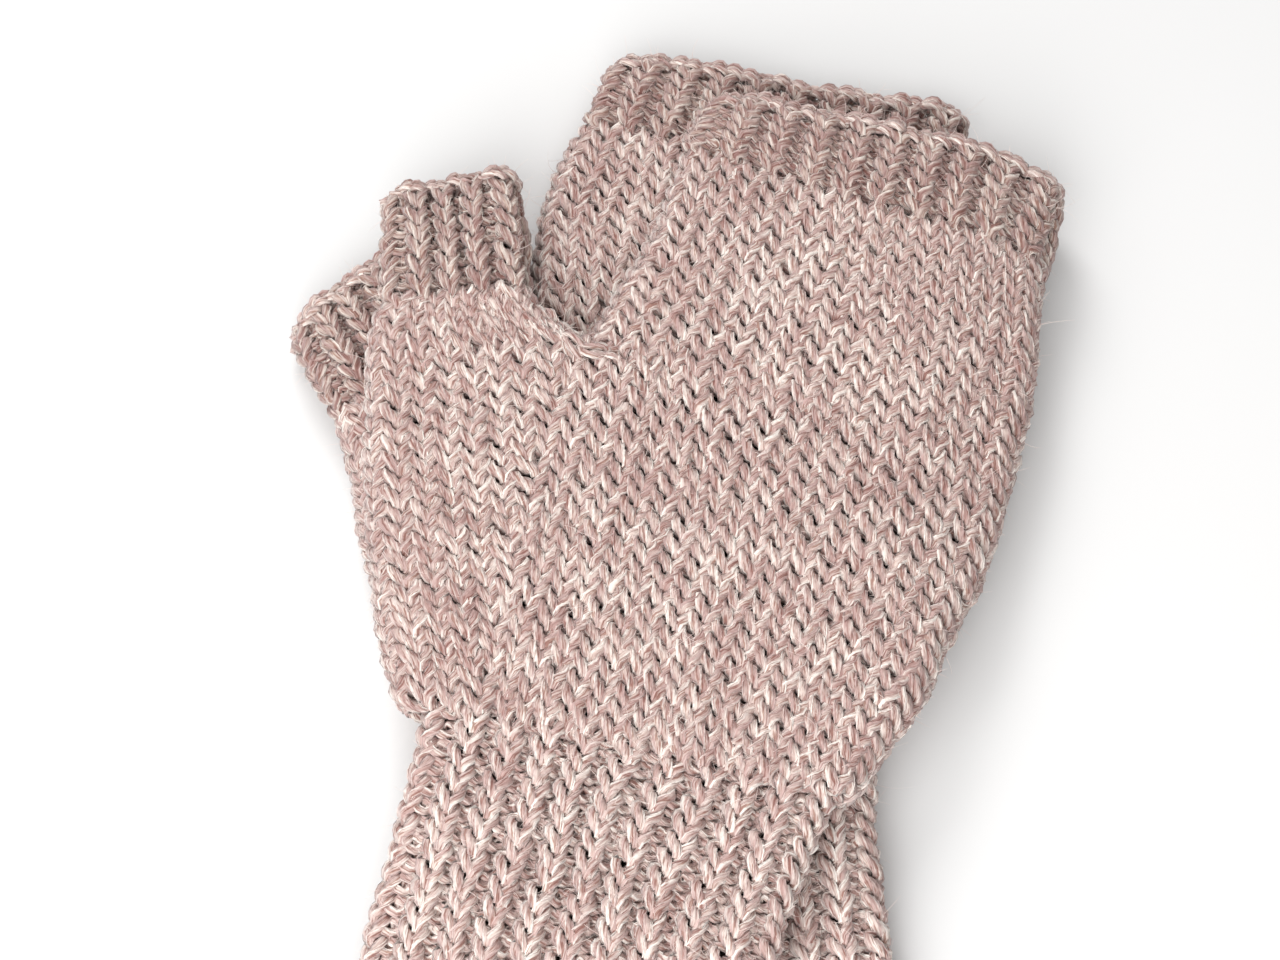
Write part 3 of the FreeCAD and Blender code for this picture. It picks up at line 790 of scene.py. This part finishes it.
def knit_thumb(glove, plan, place, thumb_edge, crotch):
    """The thumb's tube, its ribbed band and its bind-off."""
    height = place[3]
    body = f"{glove}_thumb"
    swing = bend(f"{glove}_glove", body, place, THUMB_FOLD)
    base = (thumb_edge, (thumb_edge + crotch) / 2, crotch)
    middle = straight_line(place, *plan["thumb"])
    neck = straight_line(place, *plan["neck"])
    thumb = section([base, middle, neck], THUMB_ROWS, height, SWELLS["thumb"])
    yarns = knit_section(thumb, THUMB_WALES, THUMB_SKEW)
    stitches = THUMB_WALES * THUMB_ROWS
    add_piece(f"{glove}_thumb_tube", yarns, stitches, "plain_knit", blend=swing)

    mouth = straight_line(place, *plan["mouth"])
    band = section([neck, mouth], THUMB_BAND_ROWS, height, SWELLS["thumb_band"])
    yarns = knit_section(band, THUMB_WALES, BAND_SKEW, rib=True)
    stitches = THUMB_WALES * THUMB_BAND_ROWS
    # The thumb band gets the wool with painted shade.
    add_piece(f"{glove}_thumb_band", yarns, stitches, "ribbed_knit", blend=swing, wool=SHADED_BAND_WOOL)
    yarns = edge_chain(band, THUMB_BAND_ROWS + BIND_OFF_ROW, THUMB_LINKS)
    add_piece(f"{glove}_thumb_bind_off", yarns, THUMB_WALES, "edge_chain", body)


def knit_cuff(glove, plan, place, wrist_bend):
    """The ribbed wrist cuff and its cast-on edge."""
    body = "top_cuff" if glove == "top" else f"{glove}_glove"
    wrist, middle, end = plan["cuff"]
    lines = [
        straight_line(place, *end, -CUFF_LENGTH),
        straight_line(place, *middle, -CUFF_LENGTH / 2),
        straight_line(place, *wrist, 0),
    ]
    cuff = section(lines, CUFF_ROWS, place[3], SWELLS["cuff"])
    yarns = knit_section(cuff, CUFF_WALES, CUFF_SKEW, rib=True)
    stitches = CUFF_WALES * CUFF_ROWS
    add_piece(f"{glove}_wrist_cuff", yarns, stitches, "ribbed_knit", body, wrist_bend)
    yarns = edge_chain(cuff, CAST_ON_ROW, CUFF_WALES, lean=-25)
    add_piece(f"{glove}_cast_on_edge", yarns, CUFF_WALES, "edge_chain", body)


def knit_crotch(glove, place, height, crotch):
    """The short ridge of stitches picked up between the thumb and the fingers."""
    across, along = place[1:3]
    start = crotch - across * 10.0 + along * 1.5
    middle = crotch - along * 3.6
    end = crotch + across * 6.5 - along * 1.0
    ridge = section([(start, middle, end)] * 2, 1, height, SWELLS["crotch"])
    yarns = edge_chain(ridge, 0.5, CROTCH_LINKS, width=2.4, lean=10, lift=1.1, radius=0.72)
    add_piece(f"{glove}_crotch_stitches", yarns, 18, "edge_chain", f"{glove}_glove")


def make_glove(glove):
    """All ten sections of one glove."""
    plan = PLANS[glove]
    palm_place = plan_frame(f"{glove}_wrist_opening", WRIST_MOUNT)
    hand_place = plan_frame(f"{glove}_knuckle_opening", HAND_MOUNT)
    thumb_place = plan_frame(f"{glove}_thumb_opening", THUMB_MOUNT)
    height = palm_place[3]
    wrist_bend = None
    if glove == "top":
        wrist_bend = bend("top_glove", "top_cuff", palm_place, WRIST_FOLD)
    palm_lines = [[plan_point(palm_place, *point) for point in line] for line in plan["palm"]]
    thumb_edge, crotch, little_edge = palm_lines[-1]
    knit_palm(glove, palm_lines, height, wrist_bend)
    knit_fingers(glove, plan, hand_place, crotch, little_edge)
    knit_thumb(glove, plan, thumb_place, thumb_edge, crotch)
    knit_cuff(glove, plan, palm_place, wrist_bend)
    knit_crotch(glove, hand_place, height, crotch)


make_glove("under")
make_glove("top")

# ---------------------------------------------------------------- floor, light, camera

def make_floor():
    """A plain pale floor with a faint grain."""
    mesh = bpy.data.meshes.new("floor_plane")
    reach = 3.0
    corners = [(-reach, -reach, 0), (reach, -reach, 0), (reach, reach, 0), (-reach, reach, 0)]
    mesh.from_pydata(corners, [], [(0, 1, 2, 3)])
    floor = bpy.data.objects.new("floor", mesh)
    floor.location.z = -0.0006
    bpy.context.scene.collection.objects.link(floor)
    material = bpy.data.materials.new("pale_floor")
    material.use_nodes = True
    tree = material.node_tree
    shader = tree.nodes["Principled BSDF"]
    shader.inputs["Roughness"].default_value = 0.75
    noise = node(tree, "ShaderNodeTexNoise", Scale=30.0, Detail=3.0)
    ramp = node(tree, "ShaderNodeMix", data_type="RGBA")
    ramp.inputs["A"].default_value = (0.62, 0.62, 0.62, 1)
    ramp.inputs["B"].default_value = (0.66, 0.66, 0.655, 1)
    tree.links.new(noise.outputs["Fac"], ramp.inputs["Factor"])
    tree.links.new(ramp.outputs["Result"], shader.inputs["Base Color"])
    mesh.materials.append(material)


def aim(thing, place, target):
    """Put a light or camera at a place, looking at a target, with Z up."""
    thing.location = place
    thing.rotation_euler = (Vector(target) - Vector(place)).to_track_quat("-Z", "Y").to_euler()


def make_light(name, place, size, power):
    """A soft square lamp aimed at the gloves."""
    light = bpy.data.lights.new(name, "AREA")
    light.size = size
    light.energy = power
    lamp = bpy.data.objects.new(name, light)
    bpy.context.scene.collection.objects.link(lamp)
    aim(lamp, place, (0, 0.01, 0.01))


def make_camera():
    """The camera, at the viewing angle of a hand-held picture of the gloves."""
    elevation = math.radians(68)
    azimuth = math.radians(-19)
    distance = 0.40
    target = (0.0009, 0.0082, 0.011)
    look = (
        math.sin(azimuth) * math.cos(elevation),
        math.cos(azimuth) * math.cos(elevation),
        -math.sin(elevation),
    )
    data = bpy.data.cameras.new("camera")
    data.sensor_width = 36
    data.lens = 61.7
    data.clip_start = 0.01
    camera = bpy.data.objects.new("camera", data)
    bpy.context.scene.collection.objects.link(camera)
    aim(camera, tuple(t - distance * step for t, step in zip(target, look)), target)
    bpy.context.scene.camera = camera


bpy.context.scene.view_settings.view_transform = "Standard"
make_floor()
make_light("window", place=(-0.55, 0.70, 0.75), size=0.45, power=7.5)
make_light("fill", place=(-0.04, -0.40, 0.38), size=0.5, power=3.8)
world = bpy.data.worlds.new("studio")
world.use_nodes = True
world.node_tree.nodes["Background"].inputs["Color"].default_value = (1.0, 0.985, 0.98, 1)
world.node_tree.nodes["Background"].inputs["Strength"].default_value = 0.68
bpy.context.scene.world = world
make_camera()
